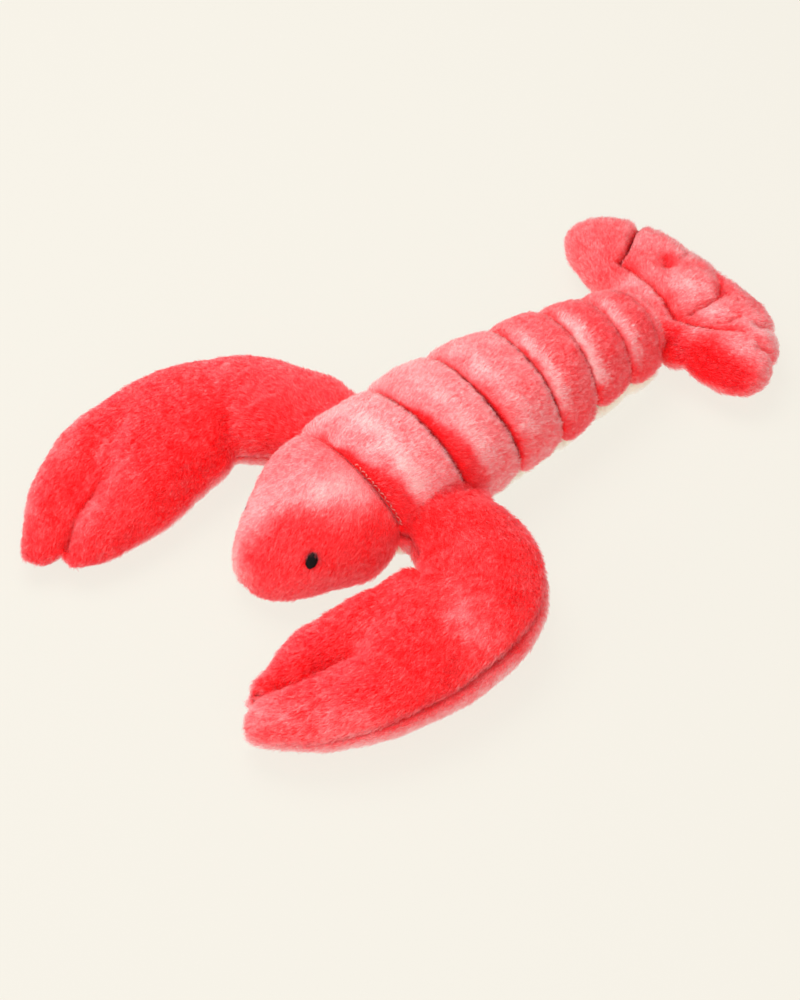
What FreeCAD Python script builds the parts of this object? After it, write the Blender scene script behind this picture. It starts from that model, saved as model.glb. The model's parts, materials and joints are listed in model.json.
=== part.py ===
import FreeCAD, Part
import math
import os

# A plush lobster soft toy that lies on its belly.  Millimetres, +Z up, head towards -Y.
# The origin is the middle of the flat under the thorax, and the toy's own left is +X.
# Every stuffed piece is a plush skin on top, a panel below and a filling inside.

# Plain sizes, each with its name in the sheet.
SIZES = {
    "skin": 3.0,              # plush pile, backing and seam allowance together
    "belly_top": 14.0,        # height of the seam between the red plush and the cream belly
    "seam_gap": 0.3,          # half of the gap between two segments at the middle of their seam
    "seam_lean": 2.6,         # degrees that each end face leans back, half of what a seam bends
    "block_reach": 70.0,      # how far a segment's block reaches to each side
    "block_top": 100.0,       # height of a segment's block
    "block_depth": 20.0,      # how far a segment's block reaches under the floor
    "front_end": -150.0,      # ahead of the snout
    "rear_end": 270.0,        # behind the tail base
    "shoulder_x": 42.0,
    "shoulder_mid": 29.0,
    "shoulder_ball": 18.5,    # radius of the arm's round root
    "ball_gap": 0.4,          # clearance around the arm's root and around the wad inside it
    "arm_seam": 24.0,         # height of the edge seam of the arms
    "right_arm_out": 7.0,     # the right arm is stuffed fuller and reaches further out
    "right_arm_forward": 8.0,
    "eye_x": 32.0,
    "eye_y": -82.7,
    "eye_mid": 39.4,
    "eye_turn": 52.0,         # degrees that the eye's face is turned outwards
    "eye_tilt": 28.0,         # degrees that it looks upwards
    "eye_long": 5.0,
    "eye_wide": 3.5,
    "eye_proud": 1.2,
    "fan_x": -2.0,
    "fan_y": 215.0,
    "fan_yaw": -9.0,          # the fan is sewn on a little askew
    "fan_mid": 20.0,          # height of the fan's edge seam
    "fan_front": 5.0,         # where the fan starts, behind its own origin
    "fan_axis": 18.0,         # where it folds
    "fan_nose": 13.0,         # radius of the rolled edge that it folds on
    "fan_nose_wide": 27.0,    # half the width of that edge
    "fan_root_wide": 34.0,    # half the width that the fan is cut back to it
}

# One ring at each seam: place along the body, half width, half height, height of its middle.
SEAM_RINGS = [
    (-25, 45, 39, 36.5),
    (25, 45.5, 39.5, 37),
    (71, 44, 38.5, 36.5),
    (112, 41, 36, 34.5),
    (147, 37.5, 33, 32),
    (180, 33, 30, 29),
    (209, 28.5, 26.5, 26),
    (220, 25, 23, 23),
]

# How far each segment swells out between its two seams.
SWELL = [4.5, 4.5, 4.5, 4.5, 4, 3.5, 1]
SWELL_SHARES = [0, 0.12, 0.35, 0.65, 0.88, 1]
SWELL_POWER = 0.6

# Head rings from the neck seam to the snout: place, half width, half height, middle.
HEAD_RINGS = [
    (-25, 45, 39, 36.5),
    (-37, 46.5, 40.5, 35),
    (-53, 45, 39.5, 33),
    (-71, 40, 34.5, 29.5),
    (-89, 32, 27.5, 25),
    (-101, 21.5, 19, 21),
    (-107, 9, 8, 20),
]

# Arm rings from the shoulder on: x, y, middle, half width, half height, heading in degrees
# (90 points outwards, 0 forwards) and the share of the right arm's extra reach.
ARM_RINGS = [
    (50, 0, 29, 16, 15.5, 90, 0.1),
    (64, 0, 28, 29, 25, 88, 0.4),
    (90, -8, 27, 36, 28, 65, 0.8),
    (108, -30, 26, 41, 28.5, 25, 1),
    (112, -61, 25, 44, 28.5, 3, 1),
    (116, -92, 24, 37, 27, -4, 1),
    (117, -115, 23, 29, 25, -12, 1),
    (111, -137, 21, 25, 21, -20, 1),
    (101, -160, 19, 19, 17, -27, 1),
    (93, -174, 16, 11, 11, -30, 1),
    (90, -179, 14, 6, 6, -32, 1),
]
FINGER_RINGS = [
    (98, -50, 25, 22, 20, 4, 1),
    (92, -80, 23, 27, 24, -6, 1),
    (86, -105, 22, 24, 23, -12, 1),
    (80, -127, 20, 20, 19, -10, 1),
    (77, -147, 18, 15, 14, -5, 1),
    (76, -159, 16, 9, 9, 0, 1),
    (76, -164, 15, 5, 5, 0, 1),
]

# Fan sections from the right edge to the left: how far to the side, middle behind the tail,
# half length and half height.
FAN_RINGS = [
    (-108, 37, 10, 6),
    (-100, 38, 21, 12.5),
    (-76, 41, 33, 17),
    (-38, 43, 39, 16),
    (0, 44.5, 40.5, 15),
    (36, 45.5, 37, 16),
    (62, 41, 26.5, 16.5),
    (76, 36.5, 16, 13),
    (83, 35, 7, 6),
]

RING_FIELDS = ("y", "wide", "tall", "mid")
ARM_FIELDS = ("x", "y", "mid", "wide", "tall", "turn", "share")
FAN_FIELDS = ("side", "back", "wide", "tall")
SEGMENTS = ["thorax", "band_2", "band_3", "band_4", "band_5", "band_6", "tail_base"]

os.makedirs("parts", exist_ok=True)
doc = FreeCAD.newDocument("plush_lobster")
sheet = doc.addObject("Spreadsheet::Sheet", "dims")
nodes = []


def put(row, alias, value):
    """Write one named size into the sheet."""
    sheet.set(f"A{row}", alias)
    sheet.set(f"B{row}", str(value))
    sheet.setAlias(f"B{row}", alias)


def fill_sheet():
    """Write every driving size into the sheet, one row each."""
    values = dict(SIZES)
    tables = [
        ("seam", SEAM_RINGS, RING_FIELDS),
        ("head", HEAD_RINGS, RING_FIELDS),
        ("arm", ARM_RINGS, ARM_FIELDS),
        ("finger", FINGER_RINGS, ARM_FIELDS),
        ("fan", FAN_RINGS, FAN_FIELDS),
        ("swell", [(value,) for value in SWELL], ("by",)),
    ]
    for word, rows, fields in tables:
        for number, row in enumerate(rows, 1):
            for field, value in zip(fields, row):
                values[f"{word}_{number}_{field}"] = value
    for row, (alias, value) in enumerate(values.items(), 1):
        put(row, alias, value)
    doc.recompute()


def place(item, x, y, z, turn="0", pitch="0", roll="0"):
    """Bind an object's place and heading to expressions."""
    spot = f"placement(vector({x}; {y}; {z}); rotation({turn}; {pitch}; {roll}))"
    item.setExpression("Placement", spot)


def keep(item, label):
    """Make an object one of the physical pieces."""
    item.Label = label
    nodes.append(item)
    return item


def ring(name, x, y, mid, wide, tall, turn="0"):
    """An upright elliptical section, square to the way that the stuffed tube runs."""
    ellipse = doc.addObject("Part::Ellipse", name)
    ellipse.setExpression("MajorRadius", wide)
    ellipse.setExpression("MinorRadius", tall)
    place(ellipse, x, y, mid, turn, "0", "90")
    return ellipse


def loft(name, rings):
    """A closed solid through rings."""
    solid = doc.addObject("Part::Loft", name)
    solid.Sections = rings
    solid.Solid = True
    solid.Ruled = False
    return solid


def box(name, size, x, y, z, turn="0"):
    """A box with its lowest corner at the given place."""
    block = doc.addObject("Part::Box", name)
    for field, value in zip(("Length", "Width", "Height"), size):
        block.setExpression(field, value)
    place(block, x, y, z, turn)
    return block


def boolean(kind, name, base, tool):
    """Combine two solids and leave the faces as they come out."""
    solid = doc.addObject(kind, name)
    solid.Base = base
    solid.Tool = tool
    solid.Refine = False
    return solid


def cut(name, base, tool):
    """Base without tool."""
    return boolean("Part::Cut", name, base, tool)


def common(name, base, tool):
    """What base and tool share."""
    return boolean("Part::Common", name, base, tool)


def fuse(name, base, tool):
    """Base and tool joined."""
    return boolean("Part::Fuse", name, base, tool)


def slab(name, low, high):
    """A wide level slab between two heights, used to trim stuffed pieces."""
    side = "8 * dims.block_reach"
    corner = "-4 * dims.block_reach"
    return box(name, (side, side, f"({high}) - ({low})"), corner, corner, low)


def half_block(name, front, rear, side):
    """One side of the space between two seams, whose end faces lean back outwards."""
    lean = "dims.block_reach * tan(dims.seam_lean * 1deg)"
    low = f"{front} + dims.seam_gap"
    high = f"{rear} - dims.seam_gap"
    if side > 0:
        low, high = f"-({high})", f"-({low})"
    block = doc.addObject("Part::Wedge", name)
    limits = {
        "Xmin": low,
        "Xmax": high,
        "X2min": f"{low} + {lean}",
        "X2max": f"{high} - {lean}",
        "Ymin": "0",
        "Ymax": "dims.block_reach",
        "Zmin": "-dims.block_depth",
        "Z2min": "-dims.block_depth",
        "Zmax": "dims.block_top",
        "Z2max": "dims.block_top",
    }
    for field, value in limits.items():
        block.setExpression(field, value)
    place(block, "0", "0", "0", str(-90 * side))
    return block


def segment_block(name, front, rear):
    """The space that one segment of the trunk may fill between its two seams."""
    left = half_block(name + "_left_block", front, rear, 1)
    right = half_block(name + "_right_block", front, rear, -1)
    return fuse(name + "_block", left, right)


def split_skin(name, form, core, top_label, low_label, trims, dimples=None):
    """Split a form at its edge seam, and hollow both halves around the filling."""
    low = cut(name + "_low_panel", common(name + "_low_half", form, trims[0]), core)
    top = cut(name + "_top_panel", common(name + "_top_half", form, trims[1]), core)
    if dimples:
        low = cut(name + "_dimpled_low", low, dimples)
        top = cut(name + "_dimpled_top", top, dimples)
    return keep(top, top_label), keep(low, low_label)


def between(number, field, share):
    """A seam ring's size at a share of the way from one seam to the next."""
    return f"(dims.seam_{number}_{field} * {1 - share:g} + dims.seam_{number + 1}_{field} * {share:g})"


def segment_rings(name, number, inset):
    """Rings of one swelling segment, from one seam to the next."""
    rings = []
    for index, share in enumerate(SWELL_SHARES):
        y, mid, wide, tall = (between(number, field, share) for field in ("y", "mid", "wide", "tall"))
        swell = round(math.sin(math.pi * share) ** SWELL_POWER, 4)
        extra = f" + dims.swell_{number}_by * {swell} - {inset}"
        rings.append(ring(f"{name}_ring_{index}", "0", y, mid, wide + extra, tall + extra))
    return rings


def make_segment(name, number, trims, pockets):
    """One band of the trunk or tail: plush over the back, cream belly and filling."""
    last = number == len(SEGMENTS)
    rear = "dims.rear_end" if last else f"dims.seam_{number + 1}_y"
    block = segment_block(name, f"dims.seam_{number}_y", rear)
    outer = loft(name + "_outer", segment_rings(name + "_outer", number, "0"))
    inner = loft(name + "_inner", segment_rings(name + "_inner", number, "dims.skin"))
    form = common(name + "_form", outer, block)
    core = common(name + "_core", common(name + "_stuffed", inner, block), trims["core"])
    if last:
        form = cut(name + "_squared_form", form, trims["fan"])
        core = cut(name + "_squared_core", core, trims["fan"])
    split_skin(name, form, core, name + "_plush", name + "_belly", trims["belly"], pockets)
    filling = cut(name + "_dimpled_core", core, pockets) if pockets else core
    keep(filling, name + "_filling")


def make_pockets():
    """Round dimples in the thorax that the arms' roots sit in."""
    radius = "dims.shoulder_ball + dims.ball_gap"
    return fuse("pockets", shoulder_ball("left_pocket", "left", radius),
                shoulder_ball("right_pocket", "right", radius))


def head_rings(name, inset):
    """Rings of the head; the inner form stops one skin short of the snout."""
    rings = []
    for number in range(1, len(HEAD_RINGS) + 1):
        cell = f"dims.head_{number}_"
        back = f" + {inset}" if number == len(HEAD_RINGS) else ""
        rings.append(ring(f"{name}_ring_{number}", "0", f"{cell}y{back}", f"{cell}mid",
                          f"{cell}wide - {inset}", f"{cell}tall - {inset}"))
    return rings


def make_eye(side, sign):
    """An oval of satin-stitched black thread, half sunk in the plush."""
    eye = doc.addObject("Part::Ellipsoid", side + "_eye")
    eye.setExpression("Radius1", "dims.eye_long")
    eye.setExpression("Radius2", "dims.eye_proud")
    eye.setExpression("Radius3", "dims.eye_wide")
    turn = "dims.eye_turn - 90" if sign > 0 else "270 - dims.eye_turn"
    place(eye, f"{sign} * dims.eye_x", "dims.eye_y", "dims.eye_mid", turn, "-dims.eye_tilt")
    return keep(eye, side + "_eye")


def make_head(trims):
    """The head: a blunt wedge with an eye on each side."""
    block = segment_block("head", "dims.front_end", "dims.seam_1_y")
    outer = loft("head_outer", head_rings("head_outer", "0"))
    inner = loft("head_inner", head_rings("head_inner", "dims.skin"))
    eyes = fuse("eyes", make_eye("left", 1), make_eye("right", -1))
    form = common("head_form", outer, block)
    core = common("head_core", common("head_stuffed", inner, block), trims["core"])
    keep(core, "head_filling")
    socketed = cut("head_socketed_form", form, eyes)
    split_skin("head", socketed, core, "head_plush", "head_belly", trims["belly"])


def arm_rings(name, word, count, side, inset):
    """Rings of an arm or of its inner finger; the inner form stops a skin short of the tip."""
    rings = []
    for number in range(1, count + 1):
        cell = f"dims.{word}_{number}_"
        x, y, turn = f"{cell}x", f"{cell}y", f"{cell}turn"
        if number == count:
            x = f"{x} - {inset} * sin({turn} * 1deg)"
            y = f"{y} + {inset} * cos({turn} * 1deg)"
        if side == "right":
            x = f"-({x} + dims.right_arm_out * {cell}share)"
            y = f"{y} - dims.right_arm_forward * {cell}share"
            turn = f"-{turn}"
        rings.append(ring(f"{name}_ring_{number}", x, y, f"{cell}mid", f"{cell}wide - {inset}",
                          f"{cell}tall - {inset}", turn))
    return rings


def shoulder_ball(name, side, radius):
    """A ball about the point that an arm swings on."""
    ball = doc.addObject("Part::Sphere", name)
    ball.setExpression("Radius", radius)
    sign = "" if side == "left" else "-"
    place(ball, f"{sign}dims.shoulder_x", "0", "dims.shoulder_mid")
    return ball


def arm_form(name, side, inset):
    """Arm and two-fingered claw as one lofted form, with no root ball."""
    arm = loft(name + "_arm", arm_rings(name + "_arm", "arm", len(ARM_RINGS), side, inset))
    rings = arm_rings(name + "_finger", "finger", len(FINGER_RINGS), side, inset)
    finger = loft(name + "_finger", rings)
    return fuse(name + "_claw", arm, finger)


def make_arm(side, trims):
    """One arm: upper and lower plush panels, its filling and the wad in its round root."""
    root = shoulder_ball(side + "_root", side, "dims.shoulder_ball")
    hollow = shoulder_ball(side + "_hollow", side, "dims.shoulder_ball - dims.skin")
    wad = shoulder_ball(side + "_wad", side, "dims.shoulder_ball - dims.skin - dims.ball_gap")
    keep(wad, side + "_shoulder_filling")
    form = fuse(side + "_form", arm_form(side + "_outer", side, "0"), root)
    stuffing = common(side + "_stuffing", arm_form(side + "_inner", side, "dims.skin"), trims["core"])
    core = fuse(side + "_core", stuffing, hollow)
    keep(cut(side + "_arm_filling", stuffing, hollow), side + "_arm_filling")
    split_skin(side, form, core, side + "_arm_upper", side + "_arm_lower", trims["arm"])


def fan_form(name, inset):
    """A puffed paddle lofted from side to side, trimmed behind a rolled edge."""
    rings = []
    last = len(FAN_RINGS)
    for number in range(1, last + 1):
        cell = f"dims.fan_{number}_"
        side = f"{cell}side"
        if number in (1, last):
            side += f" + {inset}" if number == 1 else f" - {inset}"
        rings.append(ring(f"{name}_ring_{number}", side, f"{cell}back", "dims.fan_mid",
                          f"{cell}wide - {inset}", f"{cell}tall - {inset}", "90"))
    paddle = loft(name + "_paddle", rings)
    room = "4 * dims.block_reach"
    root = box(name + "_root", ("2 * dims.fan_root_wide", room, room), "-dims.fan_root_wide",
               "dims.fan_axis - 4 * dims.block_reach", "-dims.block_depth")
    trimmed = cut(name + "_trimmed", paddle, root)
    nose = doc.addObject("Part::Cylinder", name + "_nose")
    nose.setExpression("Radius", f"dims.fan_nose - {inset}")
    nose.setExpression("Height", f"2 * (dims.fan_nose_wide - {inset})")
    place(nose, f"-dims.fan_nose_wide + {inset}", "dims.fan_axis", "dims.fan_mid", "0", "90")
    return fuse(name + "_rolled", trimmed, nose)


def make_fan(trims):
    """The tail fan: an upper and a lower panel sewn edge to edge around one filling."""
    form = fan_form("fan_outer", "0")
    core = fan_form("fan_inner", "dims.skin")
    low = slab("fan_low", "-dims.block_depth", "dims.fan_mid")
    high = slab("fan_high", "dims.fan_mid", "dims.block_top")
    panels = split_skin("fan", form, core, "fan_upper", "fan_lower", (low, high))
    filling = keep(common("fan_stuffing", core, trims["core"]), "fan_filling")
    for item in (filling, *panels):
        place(item, "dims.fan_x", "dims.fan_y", "0", "dims.fan_yaw")


def fan_spot(side, back):
    """Where a point of the fan's own frame lies on the toy."""
    across, along = "cos(dims.fan_yaw * 1deg)", "sin(dims.fan_yaw * 1deg)"
    x = f"dims.fan_x + ({side}) * {across} - ({back}) * {along}"
    y = f"dims.fan_y + ({side}) * {along} + ({back}) * {across}"
    return x, y


def make_trims():
    """The level slabs, and the block that squares the tail base to the askew fan."""
    over = "dims.block_top + dims.block_depth"
    room = "4 * dims.block_reach"
    x, y = fan_spot("-2 * dims.block_reach", "dims.fan_front - dims.seam_gap")
    return {
        "core": slab("above_skin", "dims.skin", over),
        "belly": (slab("belly_low", "0", "dims.belly_top"), slab("belly_high", "dims.belly_top", over)),
        "arm": (slab("arm_low", "0", "dims.arm_seam"), slab("arm_high", "dims.arm_seam", over)),
        "fan": box("behind_tail", (room, room, room), x, y, "-2 * dims.block_depth", "dims.fan_yaw"),
    }


def check_all():
    """Stop before anything is written if an object failed or a piece isn't a sound solid."""
    faults = [item.Name for item in doc.Objects if {"Invalid", "Error"} & set(item.State)]
    for item in nodes:
        shape = item.Shape
        if shape.isNull() or not shape.isValid() or not shape.Solids:
            faults.append(item.Label)
    if faults:
        raise RuntimeError("these failed: " + ", ".join(faults))


fill_sheet()
trims = make_trims()
make_head(trims)
pockets = make_pockets()
for number, name in enumerate(SEGMENTS, 1):
    make_segment(name, number, trims, pockets if name == "thorax" else None)
for side in ("left", "right"):
    make_arm(side, trims)
make_fan(trims)
doc.recompute()
check_all()
for item in nodes:
    box_now = item.Shape.optimalBoundingBox()
    print(f"{item.Label:24s} {len(item.Shape.Solids)} solids, {item.Shape.Volume / 1000:8.2f} ml, "
          f"z {box_now.ZMin:6.2f} to {box_now.ZMax:6.2f}")
    item.Shape.exportStep(f"parts/{item.Label}.step")
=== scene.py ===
"""A plush lobster soft toy: faux fur over stuffed bands, two soft claws and a puffy tail fan.

Metres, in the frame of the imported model: +Z up, head towards -Y, and the toy's own left is +X.
Each fabric piece is a closed skin of its own, and the pile on it is grown as fine strands.
"""

import json
import math

import bmesh
import bpy
import numpy as np
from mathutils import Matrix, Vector, noise
from mathutils.bvhtree import BVHTree


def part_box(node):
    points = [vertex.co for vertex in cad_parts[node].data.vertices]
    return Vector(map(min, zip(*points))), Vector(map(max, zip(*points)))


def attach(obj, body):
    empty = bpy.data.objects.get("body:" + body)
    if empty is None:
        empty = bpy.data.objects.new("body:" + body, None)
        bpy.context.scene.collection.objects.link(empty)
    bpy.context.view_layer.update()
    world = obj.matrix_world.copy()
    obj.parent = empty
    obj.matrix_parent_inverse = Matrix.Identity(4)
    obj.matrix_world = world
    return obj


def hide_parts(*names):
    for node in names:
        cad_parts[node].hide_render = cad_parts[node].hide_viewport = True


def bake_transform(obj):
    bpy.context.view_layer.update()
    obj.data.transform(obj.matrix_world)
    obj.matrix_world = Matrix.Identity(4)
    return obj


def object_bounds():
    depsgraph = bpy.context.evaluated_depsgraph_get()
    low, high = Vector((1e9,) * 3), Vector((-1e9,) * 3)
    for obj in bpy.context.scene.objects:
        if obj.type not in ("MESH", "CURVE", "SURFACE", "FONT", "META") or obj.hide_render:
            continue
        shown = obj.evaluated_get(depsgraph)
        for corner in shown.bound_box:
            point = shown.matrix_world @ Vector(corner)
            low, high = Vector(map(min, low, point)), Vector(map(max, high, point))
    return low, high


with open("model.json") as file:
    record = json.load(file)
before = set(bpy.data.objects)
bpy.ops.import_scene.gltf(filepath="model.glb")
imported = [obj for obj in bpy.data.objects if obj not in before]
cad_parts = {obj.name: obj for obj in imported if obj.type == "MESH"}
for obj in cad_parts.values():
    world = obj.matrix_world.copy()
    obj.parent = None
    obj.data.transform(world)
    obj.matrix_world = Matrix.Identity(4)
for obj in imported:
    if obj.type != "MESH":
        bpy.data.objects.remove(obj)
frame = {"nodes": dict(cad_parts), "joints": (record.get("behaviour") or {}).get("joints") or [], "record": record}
cad_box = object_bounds()
scene = bpy.context.scene

MM = 0.001                  # the tables of places and lengths below are in millimetres
VOXEL = 2.5 * MM
PILE_DEPTH = 1.8 * MM       # the backing lies this far under the tips of the pile
BACKING = 1.6 * MM          # thickness of the backing and its seam allowance
LEAN = math.tan(math.radians(2.6))  # the CAD segments lean back from each seam by this slope
CAD_GAP = 0.2 * MM
FAN_MID = 20 * MM           # height of the middle of the fan
FAN_EDGE = 11 * MM          # height of the fan's edge seam, which its stuffing rolls under
FAN_HINGE_BACK = 18 * MM    # the fan folds this far behind its own origin
STUFFING_FRAMES = 16        # length of the cloth simulation
EVEN_PUFF = 2.5 * MM        # the stuffing moves no point of the trunk or an arm further than this
FAN_PUFF = 4 * MM
PRESSED = 1.5 * MM          # fabric below this height lies pressed on the floor
LIFT = 0.4 * MM             # the forms end this far above the floor
SHAPED_LIFT = 0.3 * MM
NAP_RELIEF = 0.15 * MM      # the fine relief of the fabric under the pile
NAP_SIZE = 2.4 * MM

JOINTS = {joint["name"]: joint for joint in frame["joints"]}
SEGMENTS = ["thorax", "band_2", "band_3", "band_4", "band_5", "band_6", "tail_base"]
SEAM_JOINTS = ["head_turn", "tail_wag", "band_3_wag", "band_4_wag", "band_5_wag",
               "band_6_wag", "tail_base_wag", "fan_fold"]
SEAMS = [JOINTS[name]["pos_m"][1] for name in SEAM_JOINTS]

# The red plush's lower edge on each segment: its height in the middle, and how far its corners
# round up to the seams.
FLAPS = {
    "head": (6, 15),
    "thorax": (14, 12),
    "band_2": (13, 13),
    "band_3": (13, 13),
    "band_4": (14, 15),
    "band_5": (19, 12),
    "band_6": (15, 10),
    "tail_base": (5, 7),
}

# How the trunk's seams run out of their planes: place along the toy, how far the top of the seam
# reaches forward, and how far the seam's left side is ahead of its middle.
SEAM_BOWS = [(-105, 0, 0), (-25, 11, 0), (25, 8.5, 0), (71, 10, 2), (112, 5, 5.5),
             (147, 1, 7), (180, 0, 5), (209, -3.5, 4), (225, 0, 0)]
TRUNK_MID = 35 * MM
TRUNK_TALL = 40 * MM
TRUNK_WIDE = 45 * MM

# Heights of the arms' edge seam: place along the toy, height. The right claw is rolled outwards.
ARM_EDGES = {
    "left": [(-185, 13), (-150, 19), (-115, 26), (-60, 31), (30, 32)],
    "right": [(-185, 8), (-150, 9), (-115, 12), (-60, 18), (30, 22)],
}

# The middle line of the left arm, shoulder to claw tip.
ARM_LINE = [(40, 0), (70, -2), (94, -12), (108, -32), (112, -61),
            (114, -115), (101, -160), (88, -180)]

# Creases of each arm: points on the floor plan, depth, half width.
ARM_CREASES = {
    "left": [
        ([(107, -110), (103, -119), (98, -134), (90, -147), (76, -158)], 6.5, 3),
        ([(100, -112), (92, -128), (82, -148)], 8, 8),
        ([(64, -30), (72, -40), (86, -46)], 4, 3.5),
        ([(128, -66), (151, -74)], 1.5, 6),
    ],
    "right": [
        ([(-124, -103), (-114, -115), (-106, -127)], 5, 7),
        ([(-106, -130), (-101, -141), (-98, -155), (-86, -170)], 8, 4),
        ([(-124, -112), (-112, -132), (-104, -158)], 6, 9),
        ([(-88, -47), (-77, -57), (-74, -70)], 4, 6),
    ],
}

# Creases of the fan in its own plan, to the side and behind the tail: points, depth, half width.
FAN_SEAMS = [
    ([(-84, 69), (-70, 50), (-58, 36), (-53, 26)], 10, 3.5),
    ([(-53, 26), (-35, 29), (-22, 30), (-7, 29), (11, 24)], 8, 3),
    ([(11, 23), (26, 30), (40, 40), (48, 48)], 5, 2.5),
]
FAN_FOLDS = [
    ([(-43, 77), (-36, 66), (-30, 52)], 3, 3.5),
    ([(-41, 56), (-32, 50)], 5, 6),
    ([(-15, 80), (0, 70), (10, 61), (13, 46), (13, 34)], 8, 4),
    ([(13, 34), (11, 23)], 5, 3),
    ([(34, 56), (35, 47), (31, 41)], 5, 3.5),
    ([(51, 76), (46, 62)], 6, 4),
    ([(74, 60), (64, 50)], 6, 4),
]
FAN_HOLLOW = [([(21, 12), (42, 13), (61, 17), (74, 24)], 3, 8)]

# Notches in the fan's rim, where a crease runs over the edge, and the place they point at.
FAN_NOTCHES = [(-86, 70), (51, 76), (74, 57)]
FAN_HEART = (0, 30)

# How each band is shaded from its front seam on: share of its length that is painted deep red
# shade on the near side, place of the painted silky glint (a painted highlight), its strength, and the tone of the
# rest.
BAND_TONES = {
    "thorax": (0.24, 0.46, 0.88, 0.64),
    "band_2": (0.26, 0.45, 0.80, 0.60),
    "band_3": (0.07, 0.30, 0.74, 0.54),
    "band_4": (0.03, 0.16, 0.84, 0.35),
    "band_5": (0.03, 0.16, 0.88, 0.27),
    "band_6": (0.03, 0.18, 0.80, 0.30),
    "tail_base": (0.04, 0.40, 0.50, 0.38),
}

# The edge between the pale top of the head, painted sheen, and its red side, painted shade: place along the toy,
# place across.
HEAD_SHADE = [(-108, 0), (-85, 1), (-74, 10), (-60, 24), (-48, 33),
              (-25, 40)]

# Where the stuffing sits off its even form: centre, reach and shift.
NUDGES = {
    "left_arm": [
        ((60, -143, 22), 17, (7, 0, 0)),
        ((109, -168, 8), 22, (-4.5, 4, 0)),
        ((128, -144, 8), 20, (-2.5, 2.5, 0)),
        ((54, 40, 30), 14, (0, 3, 0)),
    ],
    "right_arm": [
        ((-123, -177, 20), 25, (3, 3.5, 0)),
        ((-165, -128, 25), 20, (-3, 0, 0)),
        ((-72, -110, 10), 28, (3, 0, 0)),
        ((-70, 32, 38), 20, (-2, 7, 2)),
        ((-163, -11, 25), 30, (2, -1.7, 0)),
    ],
    "fan": [
        ((60, 218, 14), 26, (3, -5, 0)),
        ((-96, 264, 20), 28, (1.8, -3, 0)),
    ],
    "trunk": [
        ((-21, -95, 25), 22, (4, 0, 0)),
        ((-34, -75, 40), 22, (4.5, 0, 0)),
        ((41, -47, 12), 18, (4, 0, -1)),
        ((34, 160, 20), 30, (-2.5, 0, 0)),
        ((-34, 175, 40), 28, (2.5, 0, 0)),
        ((-47, 70, 50), 35, (-2.5, 0, 0)),
    ],
}

# Painted highlights and painted shade on the plush: centre, radius and change of tone. Paler patches are painted
# sheen, deeper ones painted shade.
LEFT_ARM_PAINTED_LIGHT = [
    ((116, -46, 50), 16, 0.22),
    ((140, -54, 45), 19, 0.26),
    ((90, -18, 52), 12, 0.14),
    ((111, -160, 32), 12, 0.26),
    ((127, -146, 30), 12, 0.30),
    ((138, -131, 30), 11, 0.22),
    ((92, -172, 26), 13, 0.32),
    ((106, -134, 44), 10, 0.12),
    ((92, -126, 34), 14, -0.16),
]
RIGHT_ARM_PAINTED_LIGHT = [
    ((-155, -128, 30), 26, 0.14),
    ((-130, -176, 22), 18, 0.22),
    ((-94, -122, 42), 14, 0.10),
    ((-87, -150, 34), 14, 0.14),
    ((-110, -138, 30), 13, -0.12),
]

# The same painted highlights and shade for the top of the fan, with centres in its own plan.
FAN_PAINTED_LIGHT = [
    ((-55, 50), 14, 0.26),
    ((-40, 70), 12, 0.16),
    ((-37, 54), 8, -0.34),
    ((-8, 46), 17, 0.34),
    ((24, 46), 12, 0.22),
    ((6, 64), 8, -0.30),
    ((64, 37), 12, 0.34),
    ((32, 21), 9, 0.30),
    ((52, 62), 10, 0.30),
    ((34, 67), 8, 0.20),
    ((-30, 21), 9, 0.30),
    ((-11, 20), 8, 0.24),
    ((22, 10), 9, -0.42),
    ((40, 13), 11, -0.52),
    ((58, 16), 12, -0.52),
    ((73, 23), 11, -0.40),
]


# ---- numbers on meshes ---------------------------------------------------------------------

def points_of(mesh):
    """Every vertex position as one array."""
    flat = np.empty(len(mesh.vertices) * 3)
    mesh.vertices.foreach_get("co", flat)
    return flat.reshape(-1, 3)


def normals_of(mesh):
    """Every vertex normal as one array."""
    flat = np.empty(len(mesh.vertices) * 3)
    mesh.vertex_normals.foreach_get("vector", flat)
    return flat.reshape(-1, 3)


def move_points(mesh, points):
    """Put every vertex at its new position."""
    mesh.vertices.foreach_set("co", np.asarray(points, np.float32).ravel())
    mesh.update()


def store(mesh, name, values):
    """Keep one number or one vector for each vertex."""
    values = np.asarray(values, np.float32)
    kind, field = ("FLOAT_VECTOR", "vector") if values.ndim == 2 else ("FLOAT", "value")
    layer = mesh.attributes.get(name) or mesh.attributes.new(name, kind, "POINT")
    layer.data.foreach_set(field, values.ravel())


def ease(low, high, values):
    """A smooth step from 0 at low to 1 at high."""
    share = np.clip((values - low) / (high - low), 0, 1)
    return share * share * (3 - 2 * share)


def bell(values, width):
    """A smooth bump, 1 at 0 and near nothing past twice its width."""
    return np.exp(-((values / width) ** 2))


def rough(points, size, seed=0.0, stretch=(1, 1, 1)):
    """Smooth noise from -1 to 1 with features of the given size."""
    scaled = points * (np.array(stretch) / size) + seed
    return np.array([noise.noise(Vector(p)) for p in scaled])


def lumps(points, *layers):
    """A sum of smooth noises. Each has a height, a size in millimetres and a seed."""
    return sum(height * rough(points, size * MM, seed) for height, size, seed in layers)


def away_from(points, place):
    """Distance of each point to a place given in millimetres."""
    return np.linalg.norm(points - np.array(place) * MM, axis=1)


def profile(points, stops):
    """A measure that depends on how far along the toy a point is. The stops are in millimetres."""
    places, values = np.array(stops).T * MM
    return np.interp(points[:, 1], places, values)


def unit(vectors):
    """Vectors scaled to length 1."""
    return vectors / np.maximum(np.linalg.norm(vectors, axis=1, keepdims=True), 1e-9)


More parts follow.
